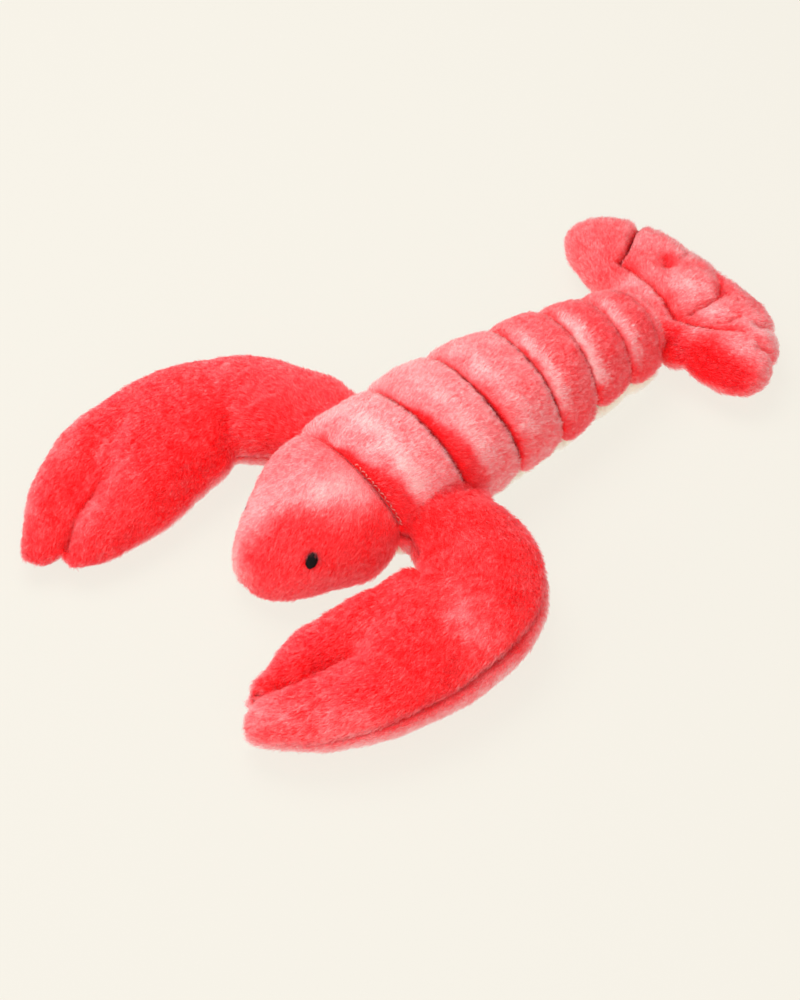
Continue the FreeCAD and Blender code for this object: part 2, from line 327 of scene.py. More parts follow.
def line_distance(plan, line):
    """Distance in the plan to a line of straight runs, and the share of the way along it."""
    best = np.full(len(plan), 1e9)
    where = np.zeros(len(plan))
    stops = np.array(line) * MM
    for index, (start, end) in enumerate(zip(stops[:-1], stops[1:])):
        run = end - start
        share = np.clip((plan - start) @ run / (run @ run), 0, 1)
        away = np.linalg.norm(plan - start - share[:, None] * run, axis=1)
        closer = away < best
        best[closer] = away[closer]
        where[closer] = (index + share[closer]) / (len(stops) - 1)
    return best, where


def painted_light(points, patches):
    """How much the patches of painted highlight and painted shade change the tone at each point."""
    return sum(change * bell(away_from(points, centre), radius * MM) for centre, radius, change in patches)


def nudge(points, name):
    """Let the stuffing of one part sit a little off its even form."""
    for centre, reach, shift in NUDGES[name]:
        share = bell(away_from(points, centre), reach * MM)
        points = points + share[:, None] * np.array(shift) * MM
    return points


# ---- making and shaping pieces ---------------------------------------------------------------

def linked(name, mesh):
    """A new object for a mesh, in the scene."""
    piece = bpy.data.objects.new(name, mesh)
    scene.collection.objects.link(piece)
    return piece


def joined(name, nodes):
    """One mesh object that holds copies of these CAD nodes."""
    gather = bmesh.new()
    for node in nodes:
        gather.from_mesh(frame["nodes"][node].data)
    mesh = bpy.data.meshes.new(name)
    gather.to_mesh(mesh)
    gather.free()
    return linked(name, mesh)


def bake(piece):
    """Apply every modifier of a piece."""
    bpy.context.view_layer.update()
    graph = bpy.context.evaluated_depsgraph_get()
    mesh = bpy.data.meshes.new_from_object(piece.evaluated_get(graph))
    piece.modifiers.clear()
    piece.data = mesh


def keep_outer(piece):
    """Drop the small shells that a remesh leaves around inner faces."""
    work = bmesh.new()
    work.from_mesh(piece.data)
    left = set(work.verts)
    shells = []
    while left:
        front = [left.pop()]
        shell = list(front)
        while front:
            vertex = front.pop()
            near = {edge.other_vert(vertex) for edge in vertex.link_edges} & left
            left -= near
            front += near
            shell += near
        shells.append(shell)
    shells.sort(key=len)
    for shell in shells[:-1]:
        bmesh.ops.delete(work, geom=shell, context="VERTS")
    work.to_mesh(piece.data)
    work.free()


def modify(piece, kind, **settings):
    """Put one modifier on a piece and apply it."""
    modifier = piece.modifiers.new(kind.lower(), kind)
    for name, value in settings.items():
        setattr(modifier, name, value)
    bake(piece)


def remesh(piece, voxel, smoothing):
    """Turn joined solids into one even, softly rounded form."""
    modify(piece, "REMESH", mode="VOXEL", voxel_size=voxel)
    modify(piece, "SMOOTH", factor=0.5, iterations=smoothing)
    keep_outer(piece)


def subdivide(piece):
    """One level of subdivision."""
    modify(piece, "SUBSURF", levels=1, render_levels=1)


def add_stuffing(piece, pinned):
    """Prepare a cloth simulation in which the stuffing presses the fabric out between its seams."""
    group = piece.vertex_groups.new(name="seams")
    for index in np.flatnonzero(pinned > 0.02):
        group.add([int(index)], float(pinned[index]), "REPLACE")
    cloth = piece.modifiers.new("stuffing", "CLOTH")
    settings = cloth.settings
    settings.quality = 4
    settings.vertex_group_mass = "seams"
    settings.use_pressure = True
    settings.uniform_pressure_force = 4
    settings.effector_weights.gravity = 0
    cloth.point_cache.frame_start = 1
    cloth.point_cache.frame_end = STUFFING_FRAMES


def stuff_all(forms):
    """Run the simulations together, and hold each point to a few millimetres from its start."""
    rests = [points_of(form["piece"].data) for form in forms]
    for form in forms:
        add_stuffing(form["piece"], form["pinned"])
    for moment in range(1, STUFFING_FRAMES + 1):
        scene.frame_set(moment)
    for form, rest in zip(forms, rests):
        bake(form["piece"])
        moved = points_of(form["piece"].data) - rest
        length = np.linalg.norm(moved, axis=1, keepdims=True)
        moved *= np.minimum(1, form["cap"] / np.maximum(length, 1e-9))
        move_points(form["piece"].data, rest + moved)
    scene.frame_set(1)


def half_of(form, name, edge, top):
    """The part of a closed form above or below an edge seam whose height depends on its place."""
    mesh = form.data.copy()
    points = points_of(mesh)
    points[:, 2] -= edge(points)
    move_points(mesh, points)
    work = bmesh.new()
    work.from_mesh(mesh)
    everything = work.verts[:] + work.edges[:] + work.faces[:]
    bmesh.ops.bisect_plane(work, geom=everything, plane_co=(0, 0, 0), plane_no=(0, 0, 1),
                           clear_inner=top, clear_outer=not top)
    work.to_mesh(mesh)
    work.free()
    points = points_of(mesh)
    points[:, 2] += edge(points)
    move_points(mesh, points)
    return linked(name, mesh)


def give_thickness(piece):
    """Make a skin a closed shell. Returns how many of its vertices are on the outside."""
    outside = len(piece.data.vertices)
    modify(piece, "SOLIDIFY", thickness=BACKING, offset=-1)
    piece.data.shade_smooth()
    return outside


def dress(piece, material):
    """Give a piece its material."""
    piece.data.materials.clear()
    piece.data.materials.append(material)


def tube(vertices, faces, path, radius, sides=6):
    """Add one round thread along a path to lists of vertices and faces."""
    first = len(vertices)
    path = [Vector(point) for point in path]
    for index, point in enumerate(path):
        ahead = path[min(index + 1, len(path) - 1)] - path[max(index - 1, 0)]
        side = ahead.cross(Vector((0.3, 0.2, 0.9))).normalized()
        up = side.cross(ahead).normalized()
        for step in range(sides):
            angle = 2 * math.pi * step / sides
            vertices.append(point + radius * (math.cos(angle) * side + math.sin(angle) * up))
    for ring in range(len(path) - 1):
        for step in range(sides):
            low = first + ring * sides
            after = (step + 1) % sides
            faces.append((low + step, low + after, low + sides + after, low + sides + step))
    faces.append(tuple(first + step for step in reversed(range(sides))))
    faces.append(tuple(first + (len(path) - 1) * sides + step for step in range(sides)))


def threads(name, paths, radius):
    """One piece made of many threads."""
    vertices, faces = [], []
    for path in paths:
        tube(vertices, faces, path, radius)
    mesh = bpy.data.meshes.new(name)
    mesh.from_pydata(vertices, [], faces)
    mesh.shade_smooth()
    return linked(name, mesh)


# ---- materials -------------------------------------------------------------------------------

RED_STOPS = [
    (0.00, (0.76, 0.004, 0.010)),
    (0.12, (0.93, 0.010, 0.014)),
    (0.40, (0.95, 0.075, 0.085)),
    (0.65, (0.97, 0.210, 0.225)),
    (1.00, (1.00, 0.620, 0.600)),
]
CREAM_STOPS = [
    (0.00, (0.62, 0.50, 0.34)),
    (0.50, (0.97, 0.83, 0.60)),
    (1.00, (0.98, 0.94, 0.82)),
]


def add(tree, kind, inputs=None, **fields):
    """A node with these fields. Each input is a plain value or a socket of another node."""
    node = tree.nodes.new(kind)
    for field, value in fields.items():
        setattr(node, field, value)
    for name, value in (inputs or {}).items():
        if isinstance(value, bpy.types.NodeSocket):
            tree.links.new(value, node.inputs[name])
        else:
            node.inputs[name].default_value = value
    return node


def maths(tree, kind, *values):
    """The result of one arithmetic node."""
    return add(tree, "ShaderNodeMath", dict(enumerate(values)), operation=kind).outputs[0]


def ramp(tree, stops, factor):
    """A colour from a ramp with these stops."""
    node = add(tree, "ShaderNodeValToRGB", {"Fac": factor})
    elements = node.color_ramp.elements
    while len(elements) < len(stops):
        elements.new(0.5)
    for element, (place, colour) in zip(elements, stops):
        element.position = place
        element.color = (*colour, 1)
    return node.outputs["Color"]


def kept(tree, name):
    """A number kept on the mesh: its tone, from 0, deep, to 1, pale, or its light, less in seams."""
    return add(tree, "ShaderNodeAttribute", attribute_name=name).outputs["Fac"]


def noise_of(tree, scale, detail=3.0):
    """Noise in the object's own space."""
    place = add(tree, "ShaderNodeTexCoord").outputs["Object"]
    node = add(tree, "ShaderNodeTexNoise", {"Vector": place, "Scale": scale, "Detail": detail})
    return node.outputs["Fac"]


def new_material(name):
    """A material with an empty node tree, and the tree."""
    material = bpy.data.materials.new(name)
    material.use_nodes = True
    material.node_tree.nodes.clear()
    return material, material.node_tree


def show(tree, shader):
    """Use a shader for the surface."""
    add(tree, "ShaderNodeOutputMaterial", {"Surface": shader.outputs[0]})


def show_surface(tree, colour, relief, **settings):
    """A surface of this colour and a noise relief: its scale, detail, strength and depth."""
    scale, detail, strength, depth = relief
    bump = add(tree, "ShaderNodeBump", {"Height": noise_of(tree, scale, detail), "Strength": strength,
                                        "Distance": depth})
    shader = add(tree, "ShaderNodeBsdfPrincipled", {"Base Color": colour, "Normal": bump.outputs["Normal"]})
    for name, value in settings.items():
        shader.inputs[name.replace("_", " ")].default_value = value
    show(tree, shader)


def plush_colour(tree, parts, stops):
    """The colour for the mesh's tone plus some parts, each a socket, its weight and a shift, dimmed by the painted
    seam shade kept as its light.
    """
    tone = kept(tree, "tone")
    for socket, weight, shift in parts:
        tone = maths(tree, "ADD", tone, maths(tree, "MULTIPLY_ADD", socket, weight, shift))
    lit = {0: ramp(tree, stops, tone), "Scale": kept(tree, "light")}
    return add(tree, "ShaderNodeVectorMath", lit, operation="SCALE").outputs[0]


def backing_material(name, stops):
    """The dense undercoat of a plush: mottled, matt and softly sheened, with a fine nap."""
    material, tree = new_material(name)
    parts = [(noise_of(tree, 900.0), 0.35, -0.24), (noise_of(tree, 60.0), 0.30, -0.15)]
    show_surface(tree, plush_colour(tree, parts, stops), (1400.0, 3.0, 0.6, 0.8 * MM),
                 Roughness=0.9, Specular_IOR_Level=0.2, Sheen_Weight=0.5, Sheen_Roughness=0.4)
    return material


def pile_material(name, stops, variety):
    """The silky strands of a plush: deeper at their roots, and no two strands quite the same."""
    material, tree = new_material(name)
    strand = add(tree, "ShaderNodeHairInfo").outputs
    parts = [(strand["Random"], variety, -0.5 * variety),
             (strand["Intercept"], 0.25, -0.75 * 0.25),
             (noise_of(tree, 420.0), 0.9, -0.5 * 0.9)]
    show(tree, add(tree, "ShaderNodeBsdfHairPrincipled",
                   {"Color": plush_colour(tree, parts, stops), "Roughness": 0.42, "Radial Roughness": 0.7},
                   parametrization="COLOR"))
    return material


def thread_material(name, colour, roughness):
    """Sewing thread, a little uneven along its length."""
    material, tree = new_material(name)
    deep = tuple(0.55 * value for value in colour)
    shade = ramp(tree, [(0.30, deep), (0.70, colour)], noise_of(tree, 2200.0))
    show_surface(tree, shade, (5200.0, 3.0, 0.5, 0.1 * MM), Roughness=roughness, Specular_IOR_Level=0.15)
    return material


def wadding_material():
    """White polyester filling: soft, cloudy and slightly translucent."""
    material, tree = new_material("fibrefill")
    shade = ramp(tree, [(0.3, (0.72, 0.72, 0.70)), (0.7, (0.93, 0.93, 0.91))], noise_of(tree, 320.0, 6.0))
    show_surface(tree, shade, (700.0, 8.0, 0.8, 1.2 * MM),
                 Roughness=1.0, Subsurface_Weight=0.2, Subsurface_Scale=4 * MM)
    return material


RED_BACKING = backing_material("red_backing", RED_STOPS)
CREAM_BACKING = backing_material("cream_backing", CREAM_STOPS)
RED_PILE = pile_material("red_pile", RED_STOPS, 0.50)
CREAM_PILE = pile_material("cream_pile", CREAM_STOPS, 0.25)
EYE_THREAD = thread_material("black_thread", (0.006, 0.005, 0.005), 0.65)
SEWING_THREAD = thread_material("pink_thread", (1.00, 0.36, 0.32), 0.5)
WADDING = wadding_material()


# ---- the pile --------------------------------------------------------------------------------

STRAND_ROOT = 0.11 * MM
STRAND_TIP = 0.045 * MM
TUFTING = 3.5 * MM          # how far noise pulls the tips of neighbouring strands together
PILE_DENSITY = 2.8e6        # strands on a square metre
BODY_PILE = 3.8 * MM        # length of the strands
CLAW_PILE = 4.6 * MM


def pile_group():
    """Nodes that grow strands on a skin: its "fur" thins them, its "nap" shortens them and its
    "pile" combs them."""
    group = bpy.data.node_groups.new("pile", "GeometryNodeTree")
    face = group.interface
    face.new_socket(name="Geometry", in_out="OUTPUT", socket_type="NodeSocketGeometry")
    for name, kind in [("Geometry", "Geometry"), ("Skin", "Object"), ("Material", "Material"),
                       ("Density", "Float"), ("Length", "Float")]:
        face.new_socket(name=name, in_out="INPUT", socket_type="NodeSocket" + kind)
    given = add(group, "NodeGroupInput").outputs

    def attribute(name, kind):
        """A named number or vector that the skin carries."""
        named = add(group, "GeometryNodeInputNamedAttribute", {"Name": name}, data_type=kind)
        return named.outputs["Attribute"]

    def times(first, second):
        """A product of two numbers."""
        return maths(group, "MULTIPLY", first, second)

    skin = add(group, "GeometryNodeObjectInfo", {"Object": given["Skin"]}, transform_space="RELATIVE")
    density = times(given["Density"], attribute("fur", "FLOAT"))
    scatter = add(group, "GeometryNodeDistributePointsOnFaces",
                  {"Mesh": skin.outputs["Geometry"], "Density": density, "Seed": 3},
                  distribute_method="RANDOM").outputs
    bent = {"Start": (0, 0, -0.2), "Middle": (0.20, 0, 0.52), "End": (0.92, 0, 0.50)}
    strand = add(group, "GeometryNodeCurveQuadraticBezier", {"Resolution": 4, **bent})

    way = {"Primary Axis": scatter["Normal"], "Secondary Axis": attribute("pile", "FLOAT_VECTOR")}
    comb = add(group, "FunctionNodeAxesToRotation", way, primary_axis="Z", secondary_axis="X")
    unruly = add(group, "FunctionNodeRandomValue",
                 {"Min": (-0.18, -0.20, -0.42), "Max": (0.18, 0.26, 0.42)}, data_type="FLOAT_VECTOR")
    turn = add(group, "FunctionNodeEulerToRotation", {"Euler": unruly.outputs["Value"]})
    combed = add(group, "FunctionNodeRotateRotation",
                 {"Rotation": comb.outputs["Rotation"], "Rotate By": turn.outputs["Rotation"]},
                 rotation_space="LOCAL")
    uneven = add(group, "FunctionNodeRandomValue", {2: 0.72, 3: 1.15, "Seed": 5}, data_type="FLOAT")
    length = times(times(given["Length"], attribute("nap", "FLOAT")), uneven.outputs[1])
    grown = add(group, "GeometryNodeInstanceOnPoints",
                {"Points": scatter["Points"], "Instance": strand.outputs["Curve"],
                 "Rotation": combed.outputs["Rotation"], "Scale": length})
    real = add(group, "GeometryNodeRealizeInstances", {"Geometry": grown.outputs["Instances"]})

    along = add(group, "GeometryNodeSplineParameter").outputs["Factor"]
    taper = add(group, "ShaderNodeMapRange", {"Value": along, "To Min": STRAND_ROOT, "To Max": STRAND_TIP})
    thin = add(group, "GeometryNodeSetCurveRadius",
               {"Curve": real.outputs["Geometry"], "Radius": taper.outputs["Result"]})
    tufts = add(group, "ShaderNodeTexNoise", {"Scale": 210.0, "Detail": 2.0})
    centred = add(group, "ShaderNodeVectorMath", {0: tufts.outputs["Color"], 1: (0.5, 0.5, 0.5)},
                  operation="SUBTRACT")
    drawn = add(group, "ShaderNodeVectorMath",
                {0: centred.outputs[0], "Scale": times(times(along, along), TUFTING)}, operation="SCALE")
    tufted = add(group, "GeometryNodeSetPosition",
                 {"Geometry": thin.outputs["Curve"], "Offset": drawn.outputs[0]})
    dyed = add(group, "GeometryNodeSetMaterial",
               {"Geometry": tufted.outputs["Geometry"], "Material": given["Material"]})
    add(group, "NodeGroupOutput", {"Geometry": dyed.outputs["Geometry"]})
    return group


PILE_GROUP = pile_group()
PILE_INPUTS = {item.name: item.identifier for item in PILE_GROUP.interface.items_tree
               if item.in_out == "INPUT"}


def grow_pile(skin, material, length):
    """Strands of pile that follow a skin through every pose."""
    pile = bpy.data.objects.new(skin.name + "_pile", bpy.data.hair_curves.new(skin.name + "_pile"))
    scene.collection.objects.link(pile)
    grower = pile.modifiers.new("pile", "NODES")
    grower.node_group = PILE_GROUP
    grower[PILE_INPUTS["Skin"]] = skin
    grower[PILE_INPUTS["Material"]] = material
    grower[PILE_INPUTS["Density"]] = PILE_DENSITY
    grower[PILE_INPUTS["Length"]] = length


# ---- finishing a fabric piece ----------------------------------------------------------------

NAP_AT_SEAMS = 0.25         # share of the pile's length left beside a seam
SEAM_SHADE = 0.70           # share of the light lost in a seam
CLAW_SEAM = 2.0 * MM        # half width of the painted shade along a seam
BODY_SEAM = 1.4 * MM


def finish_skin(piece, node, looks):
    """Give a skin its backing, its tone, its combing and its pile, and hide the CAD part it stands for."""
    cream = node.endswith("_belly")
    claw = "_arm_" in node
    outside = give_thickness(piece)
    mesh = piece.data
    points, normals = points_of(mesh), normals_of(mesh)
    tone, combing, bare, seam = looks(points, normals)
    fur = (1 - bare) * ease(1 * MM, 4 * MM, points[:, 2] + 3 * MM * (normals[:, 2] > -0.5))
    fur[outside:] = 0
    # painted shade along the seams: the tone drops towards deep red and the light is dimmed
    seam_shading = bell(seam, CLAW_SEAM if claw else BODY_SEAM) * (0.4 if cream else 1)
    store(mesh, "nap", NAP_AT_SEAMS + (1 - NAP_AT_SEAMS) * ease(0.5 * MM, 5 * MM, seam))
    store(mesh, "tone", np.clip(tone, 0, 1) * (1 - seam_shading))
    store(mesh, "light", 1 - SEAM_SHADE * seam_shading)
    store(mesh, "fur", np.clip(fur, 0, 1))
    store(mesh, "pile", unit(combing))
    dress(piece, CREAM_BACKING if cream else RED_BACKING)
    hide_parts(node)
    grow_pile(piece, CREAM_PILE if cream else RED_PILE, CLAW_PILE if claw else BODY_PILE)
    return piece


# ---- trunk and head --------------------------------------------------------------------------

def close_up(points, front, rear, lean_front, lean_rear):
    """Straighten a segment's V-shaped ends, so that neighbours meet in the plane of their seam."""
    room = CAD_GAP + np.abs(points[:, 0]) * LEAN
    share = np.clip((points[:, 1] - front) / (rear - front), 0, 1)
    points[:, 1] += room * (lean_rear * share - lean_front * (1 - share))
    return points


def segment_form(name):
    """The stuffed form of the head or of one band, with what the later steps need."""
    number = -1 if name == "head" else SEGMENTS.index(name)
    front = cad_box[0][1] if name == "head" else SEAMS[number]
    front = max(front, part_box("head_plush")[0].y)
    rear = SEAMS[number + 1] if number + 1 < len(SEAMS) - 1 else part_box("tail_base_plush")[1].y
    piece = joined(name + "_form", [f"{name}_{part}" for part in ("plush", "belly", "filling")])
    points = close_up(points_of(piece.data), front, rear, name != "head", name != "tail_base")
    move_points(piece.data, points)
    remesh(piece, VOXEL, 3)
    mesh = piece.data
    points, normals = nudge(points_of(mesh), "trunk"), normals_of(mesh)
    inward = normals * (1, 0, 1)
    if name == "head":
        inward[:, 1] = normals[:, 1] * (1 - ease(-50 * MM, -30 * MM, points[:, 1]))
    points -= PILE_DEPTH * inward
    points[:, 2] = np.maximum(points[:, 2], LIFT)
    move_points(mesh, points)
    form = {"name": name, "piece": piece, "cap": EVEN_PUFF, "front": front, "rear": rear}
    near_end = 1 - ease(2 * MM, 6 * MM, seam_distance(form, points))
    form["pinned"] = np.maximum(near_end, points[:, 2] < PRESSED)
    return form


def axis_height(name):
    """Height of the middle of a segment."""
    low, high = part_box(name + "_plush")
    return 0.46 * high.z


def around(points, name):
    """Angle about the segment's long axis in degrees: 0 on top, positive on the toy's left."""
    return np.degrees(np.arctan2(points[:, 0], points[:, 2] - axis_height(name)))


def seam_distance(form, points):
    """Distance to the nearest of a segment's seams."""
    to_rear = np.abs(points[:, 1] - form["rear"])
    if form["name"] == "head":
        return to_rear
    return np.minimum(np.abs(points[:, 1] - form["front"]), to_rear)


def band_edge(form):
    """How the plush's lower edge runs along a band: low in the middle, rounded up at its seams."""
    low, rise = FLAPS[form["name"]]

    def edge(points):
        middle = (form["front"] + form["rear"]) / 2
        share = (points[:, 1] - middle) / (form["rear"] - middle)
        if form["name"] != "head":
            share = np.abs(share)
        return (low + rise * np.clip(share, 0, 1) ** 4) * MM
    return edge


def shape_segment(form):
    """Tuck the seams, let the plush overhang the belly, and add puckers, lumps and a nap."""
    mesh = form["piece"].data
    points, normals = points_of(mesh), normals_of(mesh)
    out = unit(normals * (1, 0.001, 1))
    wall = ease(0.75, 0.95, np.abs(normals[:, 1])) * (seam_distance(form, points) < 3 * MM)
    seam = seam_distance(form, points)
    angle = around(points, form["name"])
    drop = band_edge(form)(points) - points[:, 2]
    push = -2.6 * MM * bell(seam, 1.6 * MM) - 0.5 * MM * bell(seam, 6 * MM)
    push -= 2.0 * MM * bell(drop - 1 * MM, 2 * MM) * ease(2 * MM, 6 * MM, points[:, 2])
    push += 3.0 * MM * bell(drop - 8 * MM, 6 * MM) * ease(3 * MM, 9 * MM, points[:, 2])
    push += 1.0 * MM * bell(drop + 6 * MM, 4 * MM)
    wobble = rough(points, 9 * MM, 4.0)
    push += 0.4 * MM * np.cos(np.radians(angle) * 26 + 2.5 * wobble) * bell(seam, 6 * MM)
    push += 1.3 * MM * rough(points, 26 * MM, 1.0) + 0.4 * MM * wobble
    push += NAP_RELIEF * rough(points, NAP_SIZE, 7.0, (1, 0.5, 1))
    points += out * (push * (1 - wall))[:, None]
    points[:, 2] = np.maximum(points[:, 2], SHAPED_LIFT)
    move_points(mesh, points)


def band_looks(form):
    """Tone, combing and bare patches of one band of the trunk or tail, with a painted glint and painted shade."""
    deep, glint, strength, rest = BAND_TONES[form["name"]]

    def looks(points, normals):
        share = (points[:, 1] - form["front"]) / (form["rear"] - form["front"])
        angle = around(points, form["name"])
        blur = lumps(points, (0.10, 11, 2), (0.05, 4, 3))
        near = ease(-45, 5, angle)
        # painted highlight: a silky glint across the near side, a little behind the front seam
        shine = near * bell(share + blur - glint, 0.14) * (1 - ease(60, 95, angle))
        tone = rest + 1.1 * blur + (strength - rest) * shine
        # painted shade: a deep red stripe just behind the front seam, widest low on the near side
        width = deep * (0.15 + 0.85 * ease(0, 70, angle))
        shade_stripe = near * (1 - ease(width * 0.8, width * 1.3 + 0.02, share + 0.4 * blur))
        tone = tone + (0.13 - tone) * 0.92 * shade_stripe
        # painted shade: deeper red low on the near side
        tone = tone - 0.14 * ease(62, 95, angle) * (tone > 0.3)
        combing = np.tile((0.0, 1.0, -0.1), (len(points), 1))
        wall = ease(0.70, 0.92, np.abs(normals[:, 1])) * (seam_distance(form, points) < 4 * MM)
        return tone, combing, wall, skin_seam(form, points)
    return looks


def skin_seam(form, points):
    """Distance to the nearest edge of a segment's skins, longer at the soft seam of the neck."""
    edge = np.abs(points[:, 2] - band_edge(form)(points))
    neck = points[:, 1] < SEAMS[0] + 8 * MM
    return np.minimum(seam_distance(form, points) + 1.3 * MM * neck, edge + 1 * MM)


def head_looks(form):
    """Tone, combing and bare patches of the head: painted pale sheen on top, painted deep red shade on its sides
    and front.
    """
    def looks(points, normals):
        blur = lumps(points, (0.16, 14, 5), (0.08, 5, 6))
        across = profile(points, HEAD_SHADE) - points[:, 0]
        tone = 0.22 + 0.46 * ease(-9 * MM, 12 * MM, across + 30 * MM * blur) + 0.4 * blur
        # painted shade: deeper red further down the side and at the snout
        tone = tone - 0.14 * ease(20 * MM, 45 * MM, across)
        tone = tone - 0.05 * (1 - ease(-105 * MM, -85 * MM, points[:, 1]))
        # painted highlight on the crown
        tone = tone + 0.26 * bell(away_from(points, (22, -50, 66)), 15 * MM)
        combing = np.stack([0.25 * np.sign(points[:, 0]), -np.ones(len(points)),
                            -0.5 * np.ones(len(points))], 1)
        bare = ease(0.70, 0.92, np.abs(normals[:, 1])) * (seam_distance(form, points) < 4 * MM)
        for side in ("left", "right"):
            low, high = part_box(side + "_eye")
            middle = nudge(np.array([(low + high) / 2]), "trunk")
            away = np.linalg.norm(points - middle, axis=1)
            bare = np.maximum(bare, 1 - ease(3.6 * MM, 4.8 * MM, away))
        return tone, combing, bare, skin_seam(form, points)
    return looks


def belly_looks(form):
    """The cream belly: even in tone, combed towards the tail."""
    def looks(points, normals):
        tone = 0.55 + 0.2 * rough(points, 12 * MM, 8.0)
        combing = np.tile((0.0, 1.0, 0.0), (len(points), 1))
        return tone, combing, np.zeros(len(points)), skin_seam(form, points)
    return looks


def bow_seams(points):
    """Run the trunk's seams out of their planes: forward over the back, and askew on the tail."""
    places, forward, askew = np.array(SEAM_BOWS).T * MM
    up = np.clip((points[:, 2] - TRUNK_MID) / TRUNK_TALL, 0, 1)
    shift = np.interp(points[:, 1], places, forward) * up
    shift += np.interp(points[:, 1], places, askew) * points[:, 0] / TRUNK_WIDE
    return points - shift[:, None] * np.array((0, 1, 0))


def bend_segment(piece, form):
    """Bake a skin's placement into its mesh; only the tail base's skin is hung on a body of its own."""
    name = form["name"]
    if name == "head":
        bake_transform(piece)
    elif name == "tail_base":
        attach(piece, name)
    else:
        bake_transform(piece)


def finish_segment(form):
    """Split a stuffed form into its plush back and its cream belly."""
    subdivide(form["piece"])
    shape_segment(form)
    name = form["name"]
    looks = head_looks(form) if name == "head" else band_looks(form)
    for part, top, part_looks in (("plush", True, looks), ("belly", False, belly_looks(form))):
        node = f"{name}_{part}"
        piece = half_of(form["piece"], node + "_fabric", band_edge(form), top)
        finish_skin(piece, node, part_looks)
        if node == "thorax_plush":
            make_topstitch(piece)
        move_points(piece.data, bow_seams(points_of(piece.data)))
        bend_segment(piece, form)
    bpy.data.objects.remove(form["piece"])


# ---- arms ------------------------------------------------------------------------------------

def mirrored(points, side):
    """Points of the right arm turned over to the left, so that both share one middle line."""
    if side == "left":
        return points
    return points * (-1, 1, 1) + (-0.007, 0.008, 0) * np.clip(np.abs(points[:, :1]) / 0.10, 0, 1)


def widen_root(points):
    """Spread the arm's root along the body, where it is gathered into the side seam."""
    near = 1 - ease(0.042, 0.066, np.abs(points[:, 0]))
    points[:, 1] *= 1 + 0.60 * near
    points[:, 2] = 0.029 + (points[:, 2] - 0.029) * (1 + 0.32 * near)
    points[:, 2] = np.maximum(points[:, 2], 0.0)
    return points


def arm_edge(side):
    """The height of an arm's edge seam, by place."""
    def edge(points):
        return profile(points, ARM_EDGES[side])
    return edge


def arm_form(side):
    """The stuffed form of one arm with its two-fingered claw."""
    nodes = [f"{side}_arm_{part}" for part in ("upper", "lower", "filling")]
    piece = joined(side + "_arm_form", nodes + [side + "_shoulder_filling"])
    move_points(piece.data, widen_root(points_of(piece.data)))
    remesh(piece, VOXEL, 5)
    mesh = piece.data
    points = nudge(points_of(mesh), side + "_arm") - PILE_DEPTH * normals_of(mesh)
    points[:, 2] = np.maximum(points[:, 2], LIFT)
    move_points(mesh, points)
    level = np.abs(points[:, 2] - arm_edge(side)(points))
    pinned = np.maximum(1 - ease(1 * MM, 4 * MM, level), points[:, 2] < PRESSED)
    return {"name": side, "piece": piece, "pinned": pinned, "cap": EVEN_PUFF}


def crease(plan, creases):
    """How deep the creases pull the fabric in at each point of the plan."""
    depth = np.zeros(len(plan))
    for line, deep, wide in creases:
        away, where = line_distance(plan, line)
        depth = np.maximum(depth, deep * MM * bell(away, wide * MM))
    return depth


def shape_arm(form):
    """Draw in the edge seam and the creases, and add lumps and a nap."""
    mesh = form["piece"].data
    points, normals = points_of(mesh), normals_of(mesh)
    above = points[:, 2] - arm_edge(form["name"])(points)
    beside = 1 - ease(0.80, 0.97, np.abs(normals[:, 2]))
    push = -5.0 * MM * bell(above, 1.6 * MM) * beside
    push += 1.2 * MM * bell(above + 6 * MM, 4 * MM) * beside
    push += 1.4 * MM * bell(above - 6 * MM, 5 * MM) * beside
    push += MM * lumps(points, (1.6, 30, 9), (0.5, 10, 10)) + NAP_RELIEF * rough(points, NAP_SIZE, 11.0)
    points += normals * push[:, None]
    top = ease(0.05, 0.45, normals[:, 2])
    points[:, 2] -= crease(points[:, :2], ARM_CREASES[form["name"]]) * top
    points[:, 2] = np.maximum(points[:, 2], SHAPED_LIFT)
    move_points(mesh, points)


def arm_looks(side, top):
    """Tone and combing of an arm: saturated red with paler patches of painted sheen, combed to the tips."""
    patches = LEFT_ARM_PAINTED_LIGHT if side == "left" else RIGHT_ARM_PAINTED_LIGHT

    def looks(points, normals):
        streak = rough(points, 4 * MM, 21.0, (1, 0.4, 1))
        blur = lumps(points, (0.08, 16, 12), (0.07, 5, 13)) + 0.12 * streak
        tone = (0.20 if top else 0.54) + blur + painted_light(points, patches) * (1 + 3 * blur)
        local = mirrored(points, side)
        ways = np.diff(np.array(ARM_LINE), axis=0)
        where = line_distance(local[:, :2], ARM_LINE)[1] * len(ways)
        way = unit(ways)[np.clip(where.astype(int), 0, len(ways) - 1)]
        combing = np.stack([way[:, 0] * (1 if side == "left" else -1), way[:, 1],
                            -0.15 * np.ones(len(points))], 1)
        inside = (np.abs(points[:, 0]) < 0.044).astype(float)
        return tone, combing, inside, np.abs(points[:, 2] - arm_edge(side)(points))
    return looks


def finish_arm(form):
    """Split an arm into its upper and lower panel."""
    subdivide(form["piece"])
    shape_arm(form)
    side = form["name"]
    for part, top in (("upper", True), ("lower", False)):
        node = f"{side}_arm_{part}"
        piece = half_of(form["piece"], node + "_fabric", arm_edge(side), top)
        finish_skin(piece, node, arm_looks(side, top))
        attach(piece, side + "_arm")
    bpy.data.objects.remove(form["piece"])


# ---- tail fan --------------------------------------------------------------------------------

FAN_AXIS = np.array(JOINTS["fan_fold"]["axis"][:2])
FAN_BACK = np.array((-FAN_AXIS[1], FAN_AXIS[0]))
FAN_HINGE = np.array(JOINTS["fan_fold"]["pos_m"][:2])


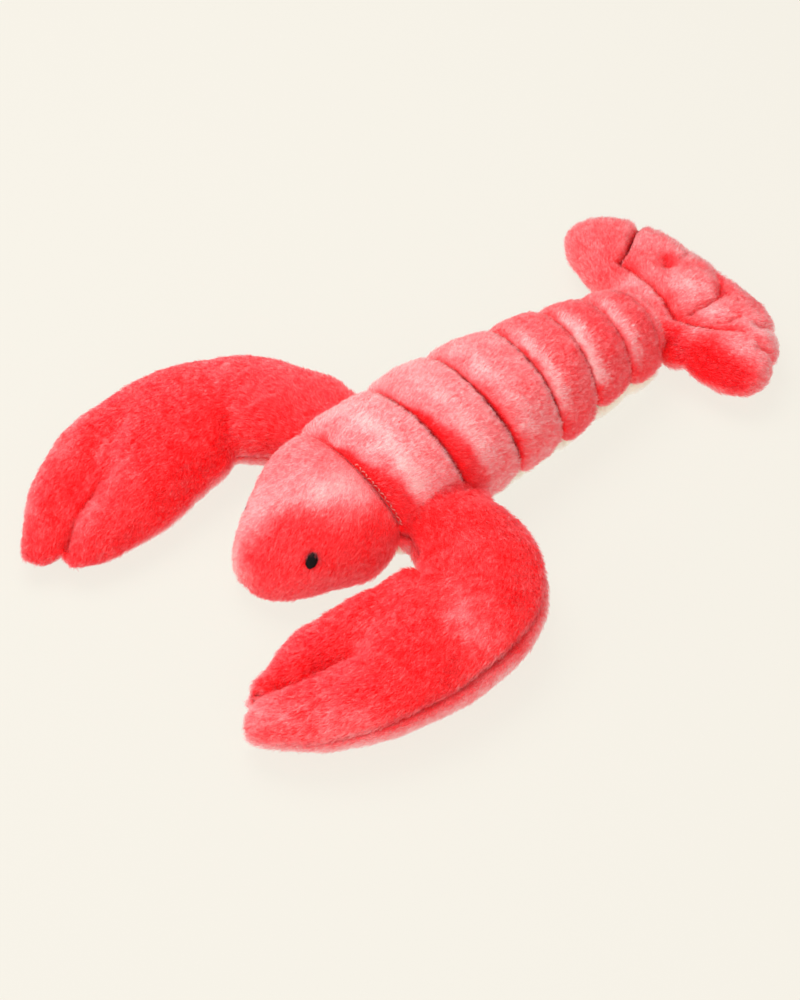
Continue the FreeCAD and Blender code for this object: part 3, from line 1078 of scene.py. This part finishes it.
def fan_plan(points):
    """Places in the fan's own plan: to the side, and behind the tail."""
    offset = points[:, :2] - FAN_HINGE
    return np.stack([offset @ FAN_AXIS, offset @ FAN_BACK + FAN_HINGE_BACK], 1)


def fan_edge(points):
    """Height of the fan's edge seam."""
    return np.full(len(points), FAN_EDGE)


def press_in(points, normals, depth):
    """Press the fan's creases in from above and below, and stop short of its middle."""
    inward = np.sign(normals[:, 2]) * ease(0.1, 0.5, np.abs(normals[:, 2]))
    height = points[:, 2] - FAN_MID
    pressed = height - depth * inward
    least = np.minimum(np.abs(height), 2.5 * MM)
    points[:, 2] = FAN_MID + np.where(height > 0, np.maximum(pressed, least), np.minimum(pressed, -least))
    return points


def add_root(piece):
    """Fill the corners between the tail and the fan's lobes with two round gussets."""
    work = bmesh.new()
    work.from_mesh(piece.data)
    for side in (-1, 1):
        gusset = FAN_HINGE + FAN_AXIS * side * 28 * MM - FAN_BACK * 5 * MM
        ball = bmesh.ops.create_icosphere(work, subdivisions=4, radius=12.5 * MM)["verts"]
        bmesh.ops.translate(work, verts=ball, vec=(*gusset, FAN_MID))
    work.to_mesh(piece.data)
    work.free()


def fan_form():
    """The stuffed form of the fan, its lobes puffed between pinned creases."""
    piece = joined("fan_form", ["fan_upper", "fan_lower", "fan_filling"])
    add_root(piece)
    remesh(piece, VOXEL, 4)
    mesh = piece.data
    normals = normals_of(mesh)
    points = nudge(points_of(mesh), "fan") - PILE_DEPTH * normals
    plan = fan_plan(points)
    for notch in FAN_NOTCHES:
        pull = 5 * MM * bell(away_from(plan, notch), 5 * MM)
        inward = unit(np.array([FAN_HEART]) - np.array([notch]))[0]
        points[:, :2] += pull[:, None] * (inward[0] * FAN_AXIS + inward[1] * FAN_BACK)
    depth = crease(plan, FAN_SEAMS + FAN_FOLDS + FAN_HOLLOW)
    move_points(mesh, press_in(points, normals, 0.7 * depth))
    level = np.abs(points[:, 2] - FAN_EDGE)
    pinned = np.maximum(1 - ease(1 * MM, 4 * MM, level), ease(2 * MM, 4 * MM, depth))
    return {"name": "fan", "piece": piece, "pinned": pinned, "cap": FAN_PUFF}


def shape_fan(form):
    """Sharpen the creases, draw in the edge seam, and add lumps and a nap."""
    mesh = form["piece"].data
    points, normals = points_of(mesh), normals_of(mesh)
    plan = fan_plan(points)
    above = points[:, 2] - FAN_EDGE
    beside = 1 - ease(0.80, 0.97, np.abs(normals[:, 2]))
    push = -2.0 * MM * bell(above, 1.8 * MM) * beside
    push += MM * lumps(points, (1.2, 22, 14), (0.5, 9, 15)) + NAP_RELIEF * rough(points, NAP_SIZE, 16.0)
    points += normals * push[:, None]
    sharp = [(line, 0.5 * deep, 0.5 * wide) for line, deep, wide in FAN_SEAMS + FAN_FOLDS]
    move_points(mesh, press_in(points, normals, crease(plan, sharp)))


def fan_looks(points, normals):
    """Tone and combing of the fan: coral with painted silky glints, painted deep red shade in its creases and
    hollows, combed outwards.
    """
    blur = lumps(points, (0.13, 13, 17), (0.10, 4, 18))
    plan = fan_plan(points)
    sharp = [(line, deep, 0.5 * wide) for line, deep, wide in FAN_SEAMS + FAN_FOLDS]
    # painted shade: deeper red along the sharp creases
    tone = 0.40 + blur - 35 * crease(plan, sharp)
    tone = tone + painted_light(plan, FAN_PAINTED_LIGHT) * (1 + 2 * blur) * (points[:, 2] > FAN_MID)
    away = plan - (0.0, -0.02)
    combing = np.column_stack([away[:, :1] * FAN_AXIS + away[:, 1:] * FAN_BACK, np.zeros(len(plan))])
    seam = np.min([line_distance(plan, line)[0] for line, deep, wide in FAN_SEAMS], axis=0)
    return tone, combing, np.zeros(len(points)), np.minimum(np.abs(points[:, 2] - FAN_EDGE), seam)


def finish_fan(form):
    """Split the fan into its upper and lower panel."""
    subdivide(form["piece"])
    shape_fan(form)
    for part, top in (("upper", True), ("lower", False)):
        piece = half_of(form["piece"], f"fan_{part}_fabric", fan_edge, top)
        finish_skin(piece, "fan_" + part, fan_looks)
        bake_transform(piece)
    bpy.data.objects.remove(form["piece"])


# ---- filling, eyes and stitches --------------------------------------------------------------

WADDING_CLEARANCE = 4.5 * MM


def make_wadding(node, body):
    """A loose wad of fibre inside the skins, clear of them all round."""
    piece = joined(node.replace("filling", "wadding"), [node])
    remesh(piece, 5 * MM, 4)
    mesh = piece.data
    points, normals = points_of(mesh), normals_of(mesh)
    push = MM * lumps(points, (1.2, 12, 19), (0.5, 6, 20)) - WADDING_CLEARANCE
    points = nudge(points, body if body in NUDGES else "trunk") + normals * push[:, None]
    if body == "fan":
        points[:, 2] = FAN_MID + 0.4 * (points[:, 2] - FAN_MID)
    elif body.endswith("_arm"):
        points[:, 2] -= crease(points[:, :2], ARM_CREASES[body[:-4]]) * (normals[:, 2] > 0)
    elif body in SEGMENTS or body == "head":
        middle = points[:, 1].mean()
        points[:, 1] = middle + 0.86 * (points[:, 1] - middle)
        points = bow_seams(points)
    move_points(mesh, points)
    mesh.shade_smooth()
    dress(piece, WADDING)
    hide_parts(node)
    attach(piece, body)


EYE_SUNK = 1.4 * MM         # how deep the eye lies among the pile
EYE_SLANT = math.radians(20)


def make_eye(side):
    """An oval of satin stitches, each thread laid across it over a low pad."""
    node = side + "_eye"
    points = points_of(frame["nodes"][node].data)
    low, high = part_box(node)
    middle = Vector(nudge(np.array([(low + high) / 2]), "trunk")[0])
    spread = np.cov((points - np.array(middle)).T)
    facing, across, along = (Vector(way) for way in np.linalg.eigh(spread)[1].T)
    if facing.x * middle.x < 0:
        facing.negate()
    middle -= facing * EYE_SUNK
    along, across = (math.cos(EYE_SLANT) * along + math.sin(EYE_SLANT) * across,
                     math.cos(EYE_SLANT) * across - math.sin(EYE_SLANT) * along)
    long, wide, count = 5.0 * MM, 3.8 * MM, 27
    paths = []
    for index in range(count):
        place = 2 * (index + 0.5) / count - 1
        reach = wide * math.sqrt(1 - place * place) + 0.15 * MM * math.sin(5.3 * index)
        crown = (1.5 - 0.9 * place * place) * MM
        path = []
        for step in range(9):
            share = step / 4 - 1
            lift = crown * (1 - 0.45 * share * share) - 3.2 * MM * abs(share) ** 8
            path.append(middle + along * place * long + across * share * reach + facing * lift)
        paths.append(path)
    eye = threads(node + "_stitching", paths, 0.26 * MM)
    pad = bmesh.new()
    pad.from_mesh(eye.data)
    made = bmesh.ops.create_icosphere(pad, subdivisions=3, radius=1.0)["verts"]
    for vertex in made:
        flat = vertex.co.copy()
        vertex.co = middle + along * flat.x * long * 0.97 + across * flat.y * wide * 0.97
        vertex.co += facing * (flat.z * 2.6 - 1.6) * MM
    pad.to_mesh(eye.data)
    pad.free()
    eye.data.shade_smooth()
    dress(eye, EYE_THREAD)
    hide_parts(node)
    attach(eye, "head")


def make_topstitch(skin):
    """The run of stitches that shows in the neck seam, on the toy's left."""
    surface = BVHTree.FromPolygons([v.co for v in skin.data.vertices],
                                   [p.vertices for p in skin.data.polygons])
    place = SEAMS[0] + 1.2 * MM
    centre = Vector((0, place, axis_height("thorax")))
    paths = []
    for index in range(17):
        path = []
        for step in range(5):
            angle = math.radians(24 + 3.9 * index + 0.62 * (step - 2))
            way = Vector((math.sin(angle), 0, math.cos(angle)))
            hit = surface.ray_cast(centre + way * 0.12, -way)[0]
            if hit is None:
                continue
            lift = (2.2 - 0.5 * (step - 2) ** 2) * MM
            slant = Vector((0, 0.25 * MM * (step - 2) * (-1) ** index, 0))
            path.append(hit + way * lift + slant)
        if len(path) == 5:
            paths.append(path)
    stitches = threads("neck_topstitch", paths, 0.34 * MM)
    move_points(stitches.data, bow_seams(points_of(stitches.data)))
    dress(stitches, SEWING_THREAD)
    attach(stitches, "thorax")


# ---- stage -----------------------------------------------------------------------------------

CAMERA_AZIMUTH = 48.3
CAMERA_RISE = 44.0
CAMERA_DISTANCE = 1.43
CAMERA_TARGET = Vector((-0.0025, 0.015, 0))
CAMERA_LENS = 85

# Softboxes: place, size and power.
LIGHTS = [
    ((-0.55, 0.10, 1.15), 1.0, 13.2),
    ((0.95, -0.75, 0.85), 1.2, 10.0),
    ((-0.40, -1.10, 0.60), 1.0, 5.5),
]
SKY_STRENGTH = 0.50
FLOOR_CREAM = (0.93, 0.895, 0.81)
FLOOR_GLOW = 0.883          # the floor is lit from behind, as on a product table
FLOOR_MATT = 0.08           # and it takes this much of the light from above


def make_camera():
    """The camera, up and to the toy's front left."""
    turn, rise = math.radians(CAMERA_AZIMUTH), math.radians(CAMERA_RISE)
    back = Vector((math.sin(turn) * math.cos(rise), -math.cos(turn) * math.cos(rise), math.sin(rise)))
    camera = bpy.data.objects.new("camera", bpy.data.cameras.new("camera"))
    scene.collection.objects.link(camera)
    camera.data.lens = CAMERA_LENS
    camera.data.clip_end = 50
    camera.location = CAMERA_TARGET + back * CAMERA_DISTANCE
    camera.rotation_euler = (-back).to_track_quat("-Z", "Y").to_euler()
    scene.camera = camera


def make_lights():
    """Large softboxes above the toy."""
    for index, (place, size, power) in enumerate(LIGHTS):
        light = bpy.data.lights.new(f"softbox_{index}", "AREA")
        light.shape = "DISK"
        light.size = size
        light.energy = power
        lamp = bpy.data.objects.new(f"softbox_{index}", light)
        scene.collection.objects.link(lamp)
        lamp.location = place
        lamp.rotation_euler = (Vector((0, 0.02, 0.03)) - Vector(place)).to_track_quat("-Z", "Y").to_euler()


def floor_material():
    """A pale backdrop that is lit from behind."""
    material, tree = new_material("backdrop")
    glow = add(tree, "ShaderNodeEmission", {"Color": (*FLOOR_CREAM, 1), "Strength": FLOOR_GLOW})
    dim = [FLOOR_MATT * value for value in FLOOR_CREAM]
    matt = add(tree, "ShaderNodeBsdfDiffuse", {"Color": (*dim, 1)})
    show(tree, add(tree, "ShaderNodeAddShader", {0: glow.outputs[0], 1: matt.outputs[0]}))
    return material


def make_backdrop():
    """A pale floor and a pale sky."""
    mesh = bpy.data.meshes.new("floor")
    reach = 6
    mesh.from_pydata([(-reach, -reach, 0), (reach, -reach, 0), (reach, reach, 0), (-reach, reach, 0)],
                     [], [(0, 1, 2, 3)])
    floor = linked("floor", mesh)
    mesh.materials.append(floor_material())
    world = bpy.data.worlds.new("sky")
    world.use_nodes = True
    sky = world.node_tree.nodes["Background"]
    sky.inputs["Color"].default_value = (1.0, 0.97, 0.92, 1)
    sky.inputs["Strength"].default_value = SKY_STRENGTH
    scene.world = world
    scene.view_settings.view_transform = "Standard"


# ---- the toy ---------------------------------------------------------------------------------

make_camera()
make_lights()
make_backdrop()

segments = [segment_form(name) for name in ["head"] + SEGMENTS]
arms = [arm_form(side) for side in ("left", "right")]
fan = fan_form()
stuff_all(segments + arms + [fan])
for form in segments:
    finish_segment(form)
for form in arms:
    finish_arm(form)
finish_fan(fan)

for body, nodes in frame["record"]["behaviour"]["bodies"].items():
    for node in nodes:
        if node.endswith("_filling"):
            make_wadding(node, body)
for side in ("left", "right"):
    make_eye(side)
